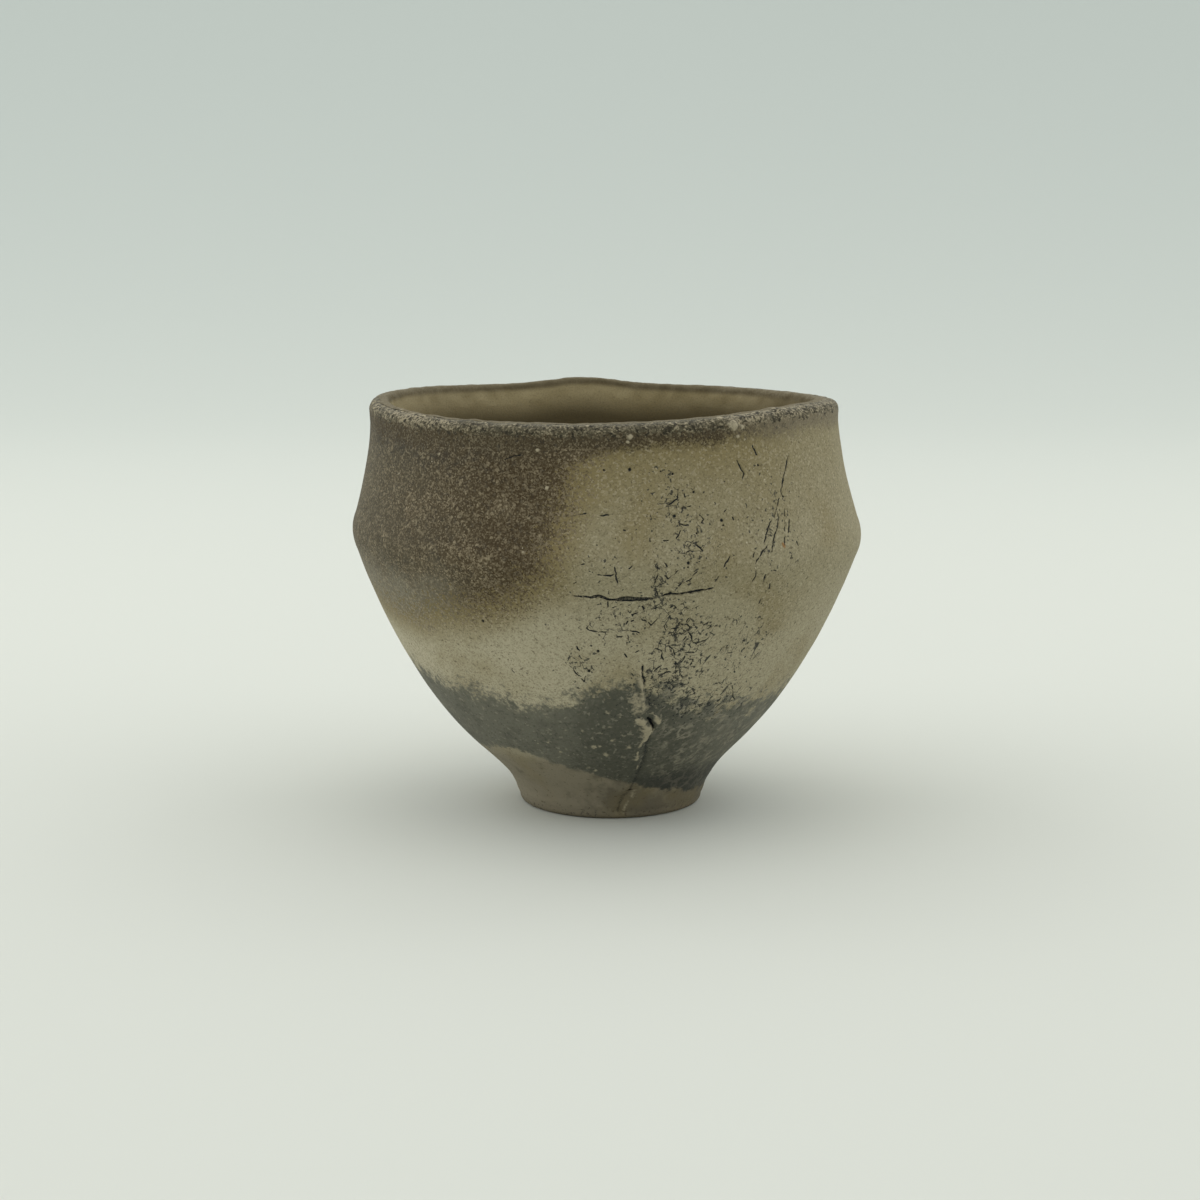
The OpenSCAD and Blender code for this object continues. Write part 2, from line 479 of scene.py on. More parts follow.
def fired_clay(name):
    """Unglazed stoneware: sandy beige clay under smoke, an ash shadow and a net of fine cracks."""
    material = bpy.data.materials.new(name)
    material.use_nodes = True
    tree = material.node_tree
    shader = tree.nodes["Principled BSDF"]
    place = tree.nodes.new("ShaderNodeTexCoord").outputs["Object"]

    def add(kind, sockets, **settings):
        """A node with its sockets linked or set."""
        node = tree.nodes.new(kind)
        for setting, value in settings.items():
            setattr(node, setting, value)
        for socket, value in sockets.items():
            if isinstance(value, bpy.types.NodeSocket):
                tree.links.new(value, node.inputs[socket])
            else:
                node.inputs[socket].default_value = value
        return node

    def layer(kept):
        """An amount that the mesh keeps at its points."""
        return add("ShaderNodeAttribute", {}, attribute_name=kept).outputs["Fac"]

    def count(operation, *values):
        """One reckoning, such as a product, on up to three values."""
        return add("ShaderNodeMath", dict(enumerate(values)), operation=operation).outputs[0]

    def total(*values):
        """All the values added up."""
        result = values[0]
        for value in values[1:]:
            result = count("ADD", result, value)
        return result

    def ramp(value, low, high, most=1.0):
        """A share that goes softly from 0 where a value is at low to most where it is at high."""
        sockets = {"Value": value, "From Min": low, "From Max": high, "To Max": most}
        return add("ShaderNodeMapRange", sockets, interpolation_type="SMOOTHSTEP").outputs[0]

    def cloud(per_metre, detail=2.0, where=place):
        """Soft noise from 0 to 1, with so many clouds to the metre."""
        sockets = {"Vector": where, "Scale": per_metre, "Detail": detail, "Roughness": 0.6}
        return add("ShaderNodeTexNoise", sockets).outputs[0]

    def spread(value, amount):
        """A share from 0 to 1, stretched to an amount and centred on zero."""
        return count("MULTIPLY_ADD", value, amount, -amount / 2)

    def over(base, top, share):
        """One colour laid over another by a share."""
        return add("ShaderNodeMix", {0: share, 6: base, 7: top}, data_type="RGBA").outputs[2]

    def sand_bed(per_metre):
        """Close-set sand: a chance value from 0 to 1 for each grain."""
        cells = add("ShaderNodeTexVoronoi", {"Vector": place, "Scale": per_metre})
        return add("ShaderNodeSeparateColor", {0: cells.outputs["Color"]}).outputs[0]

    def grains(per_metre, radius, share):
        """Single round grains, of about a radius in mm, in a share of the places for one."""
        cells = add("ShaderNodeTexVoronoi", {"Vector": place, "Scale": per_metre})
        parts = add("ShaderNodeSeparateColor", {0: cells.outputs["Color"]}).outputs
        gap = count("MULTIPLY", cells.outputs["Distance"], count("MULTIPLY_ADD", parts[1], 0.9, 0.6))
        reach = radius * MM * per_metre
        return count("MULTIPLY", ramp(gap, reach, 0.6 * reach), count("GREATER_THAN", parts[0], 1 - share))

    def leaning(where, lean, stretch):
        """Places leant by an angle in degrees, so that a pattern comes out stretched along it."""
        sockets = {"Vector": where, "Rotation": (0, math.radians(lean), 0), "Scale": (1, 1, stretch)}
        return add("ShaderNodeMapping", sockets, vector_type="TEXTURE").outputs[0]

    def jagged(where, amount, per_metre):
        """Places pushed about by up to an amount in mm, so that a pattern's lines come out jagged."""
        shift = add("ShaderNodeTexNoise", {"Vector": where, "Scale": per_metre, "Detail": 2.0})
        sockets = {0: shift.outputs["Color"], 1: (amount * MM,) * 3, 2: where}
        return add("ShaderNodeVectorMath", sockets, operation="MULTIPLY_ADD").outputs[0]

    def net(per_metre, half_width, where):
        """A net of lines, with so many meshes to the metre and lines of a half width in mm."""
        sockets = {"Vector": where, "Scale": per_metre}
        gap = add("ShaderNodeTexVoronoi", sockets, feature="DISTANCE_TO_EDGE").outputs["Distance"]
        reach = half_width * MM * per_metre
        return ramp(gap, reach, 0.4 * reach)

    # What the layers share: places, kept amounts, the beds of sand and the clouds from fine to broad
    axes = add("ShaderNodeSeparateXYZ", {0: place}).outputs
    across, height = axes["X"], axes["Z"]
    below_lip = layer("below_lip")
    inner = layer("inner")
    crackle = layer("crackle")
    fine_sand = sand_bed(5600)
    mid_sand = sand_bed(2900)
    pale_sand = sand_bed(4300)
    grain = cloud(5200)
    specks = cloud(2300, 1.0)
    blotch = cloud(760, 3.0)
    patches = cloud(230, 3.0)
    drifts = cloud(75, 3.0)
    above_foot = ramp(height, 6.0 * MM, 14.0 * MM)
    to_left = ramp(across, -12 * MM, -24 * MM)
    bare_grains = count("POWER", fine_sand, 3.0)
    bare_share = ramp(total(drifts, spread(patches, 1.2), spread(blotch, 0.6)), 0.20, 0.80, 0.26)
    bare_share = count("MULTIPLY", bare_grains, count("ADD", bare_share, 0.28))

    def bare_clay():
        """Beige clay full of sand, which turns olive up the wall and brown at the foot."""
        body = over(pale_beige, beige, ramp(total(height, spread(drifts, 8 * MM)), 22 * MM, 36 * MM))
        body = over(body, beige, ramp(across, -14 * MM, 16 * MM, 0.53))
        olive_share = count("SUBTRACT", 1.0, ramp(across, 14 * MM, 27 * MM, 0.65))
        up_wall = ramp(total(height, spread(drifts, 12 * MM)), 36 * MM, 52 * MM)
        body = over(body, olive, count("MULTIPLY", up_wall, olive_share))
        body = over(body, olive, ramp(layer("smoke"), -6.0, -0.5))
        foot_shadow = total(patches, spread(blotch, 0.35), count("MULTIPLY", across, 12.0))
        foot_tone = over(foot_brown, foot_shade, ramp(foot_shadow, 0.38, 0.64))
        body = over(body, foot_tone, ramp(total(height, spread(patches, 4 * MM)), 12.5 * MM, 7.5 * MM))
        at_edge = ramp(height, 1.8 * MM, 0.5 * MM)
        body = over(body, foot_edge, ramp(height, 1.5 * MM, 0.2 * MM, 0.8))
        body = over(body, soot_and_shade, count("MULTIPLY", at_edge, ramp(specks, 0.46, 0.34, 0.45)))
        body = over(body, olive, ramp(drifts, 0.48, 0.72, 0.5))
        body = over(body, dark_sand, count("MULTIPLY", above_foot, ramp(fine_sand, 0.55, 1.0, 0.40)))
        body = over(body, dark_sand, count("MULTIPLY", above_foot, ramp(grain, 0.50, 0.75, 0.34)))
        body = over(body, sand, count("MULTIPLY", above_foot, ramp(pale_sand, 0.30, 0.0, 0.31)))
        return over(body, dark_sand, ramp(specks, 0.35, 0.26, 0.65))

    def smoked(body):
        """Brown smoke over the left half, thin and grey at the far left, with bare grains in it."""
        smoke = layer("smoke")
        soot_depth = ramp(total(across, spread(patches, 16 * MM)), -31 * MM, -13 * MM)
        smoke_tone = over(smoke_grey, smoke_dark, count("MULTIPLY", soot_depth, 0.95))
        thin = ramp(total(smoke, spread(patches, 7.0), spread(blotch, 3.0)), 7.0, 1.0, 0.8)
        thin = count("MULTIPLY", thin, ramp(across, -15 * MM, -25 * MM))
        smoke_tone = over(smoke_tone, smoke_thin, thin)
        hazy = ramp(total(patches, spread(blotch, 0.4)), 0.50, 0.75, 0.45)
        smoke_tone = over(smoke_tone, smoke_haze, hazy)
        smoke_tone = over(smoke_tone, smoke_haze, ramp(grain, 0.40, 0.70, 0.55))
        smoke_tone = over(smoke_tone, smoke_sand, bare_share)
        smoke_tone = over(smoke_tone, smoke_sand, ramp(mid_sand, 0.90, 1.0, 0.30))
        smoke_tone = over(smoke_tone, soot_and_shade, ramp(mid_sand, 0.30, 0.0, 0.25))
        under_lip = count("MULTIPLY", ramp(below_lip, 7.5, 2.5), ramp(across, -6 * MM, -20 * MM))
        smoke_tone = over(smoke_tone, soot_and_shade, count("MULTIPLY", under_lip, ramp(blotch, 0.35, 0.60, 0.5)))
        body = over(body, smoke_brown, ramp(smoke, -3.0, 1.5, 0.45))
        sandy_edge = total(spread(fine_sand, 2.2), spread(mid_sand, 1.2))
        cloudy_edge = total(spread(blotch, 2.0), spread(patches, 1.6))
        smoke_edge = total(count("DIVIDE", smoke, 2.4), 0.40, sandy_edge, cloudy_edge)
        return over(body, smoke_tone, ramp(smoke_edge, -0.35, 0.35))

    def ashed(body):
        """A grey ash shadow round the lower half: darkest over the seam, flaked, with folds on its right, and
        painted shade in the crease at the neck.
        """
        off_seam = count("ABSOLUTE", count("SUBTRACT", across, 4 * MM))
        off_seam = total(off_seam, spread(patches, 14 * MM), spread(blotch, 8 * MM))
        ash_tone = over(ash_dark, ash_light, ramp(off_seam, 3.5 * MM, 11 * MM, 0.55))
        ash_tone = over(ash_tone, ash_dark, ramp(total(patches, spread(blotch, 0.6)), 0.44, 0.68, 0.45))
        ash_tone = over(ash_tone, ash_light, ramp(mid_sand, 0.75, 1.0, 0.3))
        ash_tone = over(ash_tone, soot_and_shade, ramp(specks, 0.44, 0.30, 0.30))
        ash_tone = over(ash_tone, ash_fold, ramp(cloud(1300), 0.60, 0.70, 0.55))
        right = ramp(across, 4 * MM, 9 * MM)
        crease = count("ABSOLUTE", spread(cloud(620, 3.0, leaning(place, 42, 1.5)), 1.0))
        folds = count("MULTIPLY", ramp(crease, 0.085, 0.0), ramp(cloud(480), 0.38, 0.62, 0.75))
        ash_tone = over(ash_tone, ash_fold, count("MULTIPLY", folds, right))
        # Painted shade in the crease at the neck, on the right.
        neck_crease_shade = count("MULTIPLY", ramp(height, 7.6 * MM, 5.4 * MM), ramp(across, 2 * MM, 7 * MM))
        ash_tone = over(ash_tone, soot_and_shade, count("MULTIPLY", neck_crease_shade, 0.55))
        wisps = count("MULTIPLY", spread(blotch, 2.8), count("MULTIPLY_ADD", right, 0.7, 1.0))
        ash_edge = count("DIVIDE", layer("ash"), 2.4)
        ash_edge = total(ash_edge, 0.10, wisps, spread(specks, 1.8), spread(patches, 2.0))
        return over(body, ash_tone, ramp(ash_edge, -0.55, 0.55))

    def gritty(body):
        """Single pale and dark grains, and dark crumbs where the clay is crackled."""
        pale_grains = count("MULTIPLY", grains(900, 0.10, 0.10), 0.7)
        body = over(body, sand, count("MULTIPLY", above_foot, pale_grains))
        dark_grains = count("MULTIPLY", grains(620, 0.10, 0.26), 0.8)
        body = over(body, soot_and_shade, count("MULTIPLY", above_foot, dark_grains))
        crumbs = total(cloud(1900, 1.0), count("MULTIPLY", crackle, 0.42))
        return over(body, soot_and_shade, ramp(crumbs, 0.82, 0.88, 0.80))

    def crack_lines():
        """A broken net of cracks, and a finer net inside it, which lean and stretch on the right."""
        sockets = {0: ramp(across, 11 * MM, 19 * MM), 4: place, 5: leaning(place, 18, 2.4)}
        crack_place = add("ShaderNodeMix", sockets, data_type="VECTOR").outputs[1]
        high_up = ramp(height, 32 * MM, 38 * MM)
        small_bits = count("MULTIPLY", cloud(1150), high_up)
        large_bits = count("MULTIPLY", cloud(620, 1.0), count("SUBTRACT", 1.0, high_up))
        shown = ramp(total(small_bits, large_bits, crackle, -1.0), -0.03, 0.05)
        coarse_lines = count("MULTIPLY", net(700, 0.066, jagged(crack_place, 2.2, 520)), shown)
        fine_shown = ramp(total(cloud(1500), crackle, -1.05), -0.03, 0.05)
        fine_lines = count("MULTIPLY", net(1450, 0.050, jagged(crack_place, 1.0, 1100)), fine_shown)
        return count("MAXIMUM", coarse_lines, fine_lines)

    def rusted(body):
        """One spot of iron that has rusted through."""
        gap = add("ShaderNodeVectorMath", {0: place, 1: rust_place}, operation="DISTANCE").outputs["Value"]
        gap = total(gap, spread(specks, 0.6 * MM))
        return over(body, rust, ramp(gap, rust_r * MM, 0.4 * rust_r * MM, 0.8))

    def rimmed(body):
        """The lip: a grey crest with bare sand, barer towards both ends, over a dark band of smoke and
        painted shade.
        """
        to_end = count("MAXIMUM", to_left, ramp(across, 9 * MM, 22 * MM))
        rim = over(lip_grey, lip_sand, count("MULTIPLY", bare_grains, 0.62))
        bare = total(pale_sand, spread(patches, 1.6), spread(blotch, 0.5), count("MULTIPLY", to_end, 0.42))
        rim = over(rim, lip_sand, ramp(bare, 0.90, 1.14, 0.7))
        rim = over(rim, lip_pit, ramp(total(mid_sand, spread(blotch, 0.8)), 0.18, 0.06, 0.85))
        rim = over(rim, lip_pit, ramp(specks, 0.41, 0.32, 0.85))
        # Smoke and painted shade: a dark band under the crest, lighter to the right.
        band = over(lip_smoke_shade, lip_taupe, ramp(across, 12 * MM, 24 * MM))
        band = over(band, smoke_haze, ramp(grain, 0.40, 0.70, 0.4))
        band = over(band, lip_sand, count("MULTIPLY", bare_share, 0.8))
        band = over(band, soot_and_shade, ramp(specks, 0.40, 0.30, 0.4))
        smoke_shade_edge = total(below_lip, spread(blotch, 1.6), spread(mid_sand, 0.8))
        rim = over(rim, band, ramp(smoke_shade_edge, 0.7, 1.5))
        rim = over(rim, well_edge, count("MULTIPLY", inner, 0.85))
        lip_edge = total(below_lip, spread(blotch, 1.8), spread(fine_sand, 1.4), spread(patches, 1.6))
        lip_edge = count("ADD", lip_edge, ramp(across, -8 * MM, 4 * MM, 0.8))
        return over(body, rim, ramp(lip_edge, 4.4, 2.4))

    def lined(body):
        """The inside: olive clay, with painted shade in a band under the lip, and pale again down in the
        well.
        """
        well = over(well_olive, olive, ramp(drifts, 0.38, 0.68, 0.5))
        well = over(well, well_edge, count("MULTIPLY", to_left, 0.3))
        well = over(well, well_edge, ramp(across, 16 * MM, 26 * MM, 0.8))
        # Painted shade: the inside darkens in a band under the lip, reaching deeper on the right.
        well_shade_depth = count("ADD", below_lip, ramp(across, 2 * MM, 16 * MM, 1.0))
        well = over(well, well_shade, ramp(well_shade_depth, 1.6, 5.4))
        well = over(well, well_deep, ramp(total(below_lip, spread(drifts, 10.0)), 8.0, 17.0))
        deep = ramp(below_lip, 9.0, 16.0)
        beige_share = ramp(total(drifts, spread(patches, 0.5)), 0.40, 0.65, 0.4)
        well = over(well, beige, count("MULTIPLY", deep, beige_share))
        well = over(well, dark_sand, ramp(grain, 0.45, 0.75, 0.30))
        well = over(well, dark_sand, count("MULTIPLY", deep, ramp(specks, 0.38, 0.28, 0.6)))
        return over(body, well, count("MULTIPLY", inner, ramp(below_lip, 0.4, 1.2)))

    def marked(body):
        """The modelled marks: ridges and stones are rubbed pale, and cracks are darkened, with sooty dirt in
        the fine cracks and painted shade in the split and in the hollows beside the scar.
        """
        scar = total(layer("scar"), spread(blotch, 0.8), spread(specks, 0.8), spread(mid_sand, 0.25))
        body = over(body, scar_pale, ramp(scar, 0.25, 0.85, 0.8))
        # Dark clefts: dirt in the fine cracks, and painted shade in the split and in the hollows beside the
        # scar.
        return over(body, soot_and_shade, ramp(count("ADD", layer("cleft"), spread(grain, 0.5)), 0.25, 0.65))

    lines = crack_lines()
    clay = gritty(ashed(smoked(bare_clay())))
    clay = over(clay, soot_and_shade, count("MULTIPLY", lines, 0.86))
    clay = marked(lined(rimmed(rusted(clay))))
    tree.links.new(clay, shader.inputs["Base Color"])
    tree.links.new(ramp(grain, -0.6, 1.2), shader.inputs["Roughness"])
    shader.inputs["Specular IOR Level"].default_value = 0.14
    relief = total(grain, count("MULTIPLY", mid_sand, 0.35), count("MULTIPLY", blotch, 0.6))
    relief = count("SUBTRACT", relief, lines)
    bump = add("ShaderNodeBump", {"Height": relief, "Strength": 0.5, "Distance": 0.10 * MM})
    tree.links.new(bump.outputs[0], shader.inputs["Normal"])
    return material


crease_angle = 42


def finished(piece, material):
    """Smooths a piece's shading but for its edges, and gives it its clay."""
    bpy.ops.object.select_all(action="DESELECT")
    piece.select_set(True)
    bpy.context.view_layer.objects.active = piece
    bpy.ops.object.shade_smooth_by_angle(angle=math.radians(crease_angle))
    piece.data.materials.append(material)


foot_outline = (
    bent((recess_r, foot_edge_r), (recess_r, 0), (recess_r + foot_edge_r, 0), 6)
    + straight((recess_r + foot_edge_r, 0), (foot_r - foot_edge_r, 0), 5)
    + bent((foot_r - foot_edge_r, 0), (foot_r, 0), (foot_r, foot_edge_r), 6)
    + straight((foot_r, foot_edge_r), neck, 3)
    + bent(neck, neck_bend, flank_start, 9, 0, seat_share)
)
seat = foot_outline[-1]
recess_top = (recess_r, seat[1])
foot_outline += straight(seat, recess_top, 4) + straight(recess_top, (recess_r, foot_edge_r), 7)
foot_seam = [(631, 786), (627, 791), (622, 797), (619, 806), (617, 814)]
foot_ridge = [(637, 786), (633, 791), (628, 797), (625, 806), (623, 813)]
foot_marks = [(foot_ridge, 0.45, 0.16, 0.45), (foot_seam, 0.34, -0.22, 0.43)]
coarse_face = 0.12
foot_ring = formed(turned("foot_ring_clay", foot_outline))
scored(foot_ring, foot_marks, coarse_face)
fired(foot_ring)
finished(foot_ring, fired_clay("foot_clay"))
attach(foot_ring, "root")
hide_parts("foot_ring")


# Lower bowl
# The floor and the flaring flank, pinched up from one ball of clay. Its edge is bevelled for the wall
# strip that laps over it, and the ash shadow of the kiln lies round its lower half.
flank_bend = (27.31, 17.69)
keel = (33.2, keel_z)
lap_share = 0.899
lip_r = 30.2
lip_t = 3.2
keel_inside = (29.6, keel_z)
lip_foot_inside = (lip_r - lip_t, lip_foot_z)
wall_bend_inside = (27.31, 44.57)
well_bend = (20.72, well_z)
inside_arm = 3.5

flank = bent(flank_start, flank_bend, keel, 54, 0, lap_share)
lap = flank[-1]
well_curve = bent((0, well_z), well_bend, keel_inside, 22)
wall_curve = bent(keel_inside, wall_bend_inside, lip_foot_inside, 16)
well_side = [point for point in well_curve if keel_z - point[1] > inside_arm]
wall_inside = [point for point in wall_curve if point[1] - keel_z > inside_arm]
bowl_inside = bent(well_side[-1], keel_inside, wall_inside[0], 6, 0, 0.5)
skirt_inside = bent(well_side[-1], keel_inside, wall_inside[0], 6, 0.5, 1)
lap_inside = skirt_inside[0]
bowl_outline = (
    straight((0, seat[1]), seat, 4)
    + bent(neck, neck_bend, flank_start, 11, seat_share, 1)
    + flank
    + straight(lap, lap_inside, 3)
    + bowl_inside[::-1]
    + well_side[::-1]
)
crack_foot = [
    (566, 594), (572, 595.6), (578, 596.6), (586, 597.2), (591, 598.2), (595, 597.8), (599, 597.8),
    (603, 598.2), (607, 600), (610, 600.4), (616, 600.2), (620, 601.4), (625, 600.8), (632, 601.2),
    (636, 600.4), (640, 600.6), (648, 600), (653, 599.4), (658, 598),
]
crack_fade = 3.0
crack_reach = 1.1
crack_edge = 0.04
crack_face = 0.09


def parted(piece, edge, split_shade):
    """Moves the clay at the lap joint to an edge of the crack, a route of pixels, and paints shade into the
    split.
    """
    turns, heights = zip(*(round_cup(pixel) for pixel in edge))
    places = [place for place, _ in routed(edge)]
    divided(piece, tree_of(places), [crack_reach * MM] * len(places), crack_face)
    points = points_of(piece)
    x, y, z = points.T
    angle = np.degrees(np.arctan2(x, -y))
    joint_z = lap[1] - keel_tilt * np.sin(np.radians(angle)) * ((lap[1] - seat_z) / (keel_z - seat_z)) ** 2
    ends = [turns[0] - crack_fade, turns[0], turns[-1], turns[-1] + crack_fade]
    share = np.interp(angle, ends, [0, 1, 1, 0])
    share *= np.exp(-(((z - joint_z) / crack_reach) ** 2)) * (np.hypot(x, y) > lap[0] - crack_reach)
    split = np.interp(angle, [turns[0], turns[1], turns[-2], turns[-1]], [0, 1, 1, 0])
    # Painted shade: the lap face inside the open split is darkened.
    painted(piece, "cleft", split_shade * split * (share > 0) * (z > joint_z + crack_edge))
    points[:, 2] += share * (np.interp(angle, turns, heights) - joint_z)
    piece.data.vertices.foreach_set("co", (points * MM).ravel())
    piece.data.update()


# The marks on the bowl, as routes of pixels: a scar runs down to a flap of clay and on along the seam
scar_line = [(643, 664), (641.5, 672), (644, 680), (642, 687)]
scar_shoulder = [(641, 668), (640, 678), (642, 688), (643, 700), (644, 711)]
scar_patch = [(634, 696), (639, 703), (640, 712)]
scar_hollow = [(646, 690), (648, 700), (650, 708), (652, 714)]
scar_flap = [(636, 718), (641, 720), (645, 724), (647, 730), (645, 737), (642, 742)]
scar_bulge = [(647, 713), (652, 712), (657, 716), (659, 723)]
scar_slit = [(647, 716), (650.5, 721), (653, 726), (651, 730)]
seam_hollow = [
    (651, 731), (649, 738), (646, 746), (645, 757), (641, 770), (635, 782), (629, 790), (626, 794),
]
bowl_hairlines = [
    [(608, 600), (608, 608)], [(611, 608), (622, 603)],
    [(590, 624), (586, 628), (590, 631), (596, 631), (604, 632), (617, 631)],
    [(623, 630), (633, 631), (641, 633)], [(639, 618), (647, 621), (651, 625), (659, 616)],
    [(667, 609), (674, 605), (676, 608), (680, 604), (685, 603)], [(691, 609), (699, 606)],
    [(663, 624), (666, 630), (671, 633), (673, 637)],
    [(666, 629), (671, 628), (677, 628), (679, 623), (687, 624), (690, 627), (687, 631), (692, 636),
     (692, 641), (695, 643), (702, 641), (711, 636)],
    [(690, 624), (697, 624), (699, 623)], [(686, 622), (689, 617)], [(703, 625), (709, 622)],
    [(674, 660), (676, 664), (675, 672), (673, 679)], [(680, 663), (683, 660), (685, 655)],
    [(693, 658), (690, 666)], [(694, 652), (683, 652)], [(668, 645), (673, 649), (675, 655)],
    [(576, 646), (580, 651)], [(568, 660), (575, 672), (584, 681), (587, 673)],
    [(510, 668), (515, 673)], [(761, 599), (759, 604)], [(644, 609), (642, 605)],
    [(654, 608), (660, 606), (662, 608)], [(631, 615), (636, 613), (639, 612)], [(622, 615), (625, 616)],
    [(626, 624), (628, 621)], [(631, 621), (634, 620)], [(616, 637), (622, 636), (620, 639)],
    [(676, 634), (683, 633), (687, 630)], [(683, 640), (686, 636)], [(708, 629), (712, 624)],
    [(655, 648), (661, 650), (662, 657), (664, 660)], [(683, 647), (686, 643), (685, 640)],
    [(697, 648), (695, 652)], [(657, 678), (661, 674), (668, 671), (672, 672)],
    [(652, 672), (658, 667), (662, 664)], [(725, 654), (733, 652)], [(726, 620), (730, 618)],
    [(634, 676), (631, 672)], [(732, 684), (732, 695), (735, 700)], [(639, 650), (635, 652)],
    [(624, 653), (627, 657)],
]
bowl_pits = [(589, 671), (598, 651), (483, 621)]
ash_flecks = [
    (565, 729, 0.30), (583, 731, 0.42), (610, 726, 0.24), (594, 747, 0.46), (600, 746, 0.28),
    (629, 747, 0.32), (606, 755, 0.40), (560, 752, 0.22), (588, 768, 0.34), (595, 772, 0.44),
    (581, 738, 0.20), (538, 743, 0.26), (612, 740, 0.36), (624, 735, 0.22), (548, 741, 0.34),
    (620, 716, 0.26), (608, 712, 0.38), (602, 733, 0.24),
]
seam_bits = [[(642, 742), (639, 748)], [(638, 752), (637, 761)], [(638, 766), (637, 770)]]
fleck_rise = 0.05
fleck_tint = 0.52
fleck_tint_per_mm = 0.4
seam_bit = (0.30, 0.14, 0.75)
hairline = (0.08, -0.16, 1.0)
bowl_pit = (0.16, -0.30, 1.0)
fine_face = 0.06
# The tints of the two hollows are painted shade on the sides of the scar and flap that face away from the
# light.
bowl_scars = [
    (scar_shoulder, 0.36, 0.22, 0.75), (scar_patch, 0.9, 0.10, 0.62), (scar_flap, 0.60, 0.42, 0.95),
    (scar_bulge, 0.42, 0.32, 0.8), (scar_hollow, 0.60, -0.30, 0.3), (seam_hollow, 0.38, -0.25, 0.47),
]
bowl_scars += [
    ([(x, y)], half_width, fleck_rise, fleck_tint + fleck_tint_per_mm * half_width)
    for x, y, half_width in ash_flecks
]
bowl_scars += [(route, *seam_bit) for route in seam_bits]
bowl_cracks = [
    (crack_foot[1:-1], 0.10, -0.30, 0.9), (scar_line, 0.14, -0.25, 0.8), (scar_slit, 0.14, -0.60, 0.85),
]
bowl_cracks += [(route, *hairline) for route in bowl_hairlines]
bowl_cracks += [([place], *bowl_pit) for place in bowl_pits]
lower_bowl = formed(turned("lower_bowl_clay", bowl_outline))
parted(lower_bowl, crack_foot, split_shade=0.55)
scored(lower_bowl, bowl_scars, coarse_face)
scored(lower_bowl, bowl_cracks, fine_face)
fired(lower_bowl)
finished(lower_bowl, fired_clay("bowl_clay"))
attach(lower_bowl, "root")
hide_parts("lower_bowl")


# Upper wall
# A strip of clay that leans in from the keel to the lip. Its skirt laps over the bowl's edge, where
# it has split open at the front, and the kiln's smoke lies over its left half.
keel_arm = 2.2
keel_push = 0.3
wall_bend = (30.56, 44.57)
lip_foot = (lip_r, lip_foot_z)

skirt = bent(flank_start, flank_bend, keel, 8, lap_share, 1)
wall_side = bent(keel, wall_bend, lip_foot, 30)
below_keel = [point for point in skirt if keel_z - point[1] > keel_arm]
above_keel = [point for point in wall_side if point[1] - keel_z > keel_arm]
round_keel = bent(below_keel[-1], (keel[0] + keel_push, keel_z), above_keel[0], 9)
wall_outline = (
    below_keel
    + round_keel[1:-1]
    + above_keel
    + straight(lip_foot, lip_foot_inside, 3)
    + wall_inside[::-1]
    + skirt_inside[::-1]
    + straight(lap_inside, lap, 3)
)
# The marks on the wall, as routes of pixels: the split at the lap, cracks, strands, pits and lumps
crack_top = [
    (566, 594), (572, 595), (578, 595.5), (586, 595.6), (591, 596.2), (595, 594.8), (599, 594.5),
    (603, 595.6), (607, 597.4), (610, 598.4), (616, 598.4), (620, 597), (625, 596.2), (632, 596.4),
    (636, 597), (640, 597.1), (648, 597.2), (653, 597.4), (658, 598),
]
keel_crack_right = [(660, 596), (670, 594), (680, 594), (692, 592), (707, 590), (714, 588)]
wall_hairlines = [
    [(654, 563), (658, 569), (658, 575), (656, 579), (654, 585), (656, 590), (658, 594), (656, 598)],
    [(664, 562), (668, 568)], [(664, 575), (668, 579), (675, 574), (679, 570)],
    [(615, 566), (616, 573), (616, 579), (619, 586)], [(597, 575), (610, 576), (615, 575)],
    [(577, 566), (585, 564)], [(573, 584), (577, 582)],
    [(678, 487), (678, 498), (671, 504), (666, 506)], [(684, 493), (686, 501)], [(681, 508), (692, 506)],
    [(678, 523), (684, 525), (690, 525)], [(676, 540), (681, 530)], [(574, 516), (587, 513)],
    [(598, 516), (615, 514)], [(503, 460), (514, 456), (522, 455)],
    [(736, 458), (741, 469), (744, 474), (742, 480)], [(752, 445), (757, 456)],
    [(770, 583), (769, 596)], [(731, 555), (724, 568)], [(629, 570), (632, 566)],
    [(698, 571), (690, 580), (685, 582)], [(679, 587), (681, 583)], [(720, 575), (715, 582)],
    [(768, 545), (760, 556)], [(755, 551), (753, 558)], [(773, 570), (777, 571)],
    [(797, 541), (799, 546)], [(793, 552), (792, 559)], [(684, 557), (687, 552), (691, 551)],
    [(663, 541), (670, 540)], [(657, 537), (656, 533)], [(650, 538), (650, 542)],
    [(699, 514), (704, 519), (701, 524)], [(728, 507), (724, 513)], [(623, 530), (626, 531)],
    [(696, 544), (704, 551)], [(733, 517), (734, 520)],
]
wall_strands = [
    [(789, 450), (787, 463), (786, 469), (783, 479), (781, 492), (783, 497), (787, 496)],
    [(776, 506), (779, 518), (777, 530), (774, 538), (772, 550), (770, 559)],
    [(785, 508), (785, 521), (785, 535), (785, 546)], [(757, 563), (756, 576), (752, 583)],
    [(780, 496), (774, 519)], [(772, 519), (767, 533), (764, 545)], [(764, 549), (758, 560), (756, 566)],
    [(790, 518), (789, 534)], [(784, 478), (782, 488)], [(766, 574), (763, 586)],
]
wall_pits = [
    (758, 465), (604, 470), (630, 470), (661, 471), (673, 474), (694, 492), (724, 525), (722, 520),
    (697, 533), (689, 563), (689, 568), (675, 516),
]
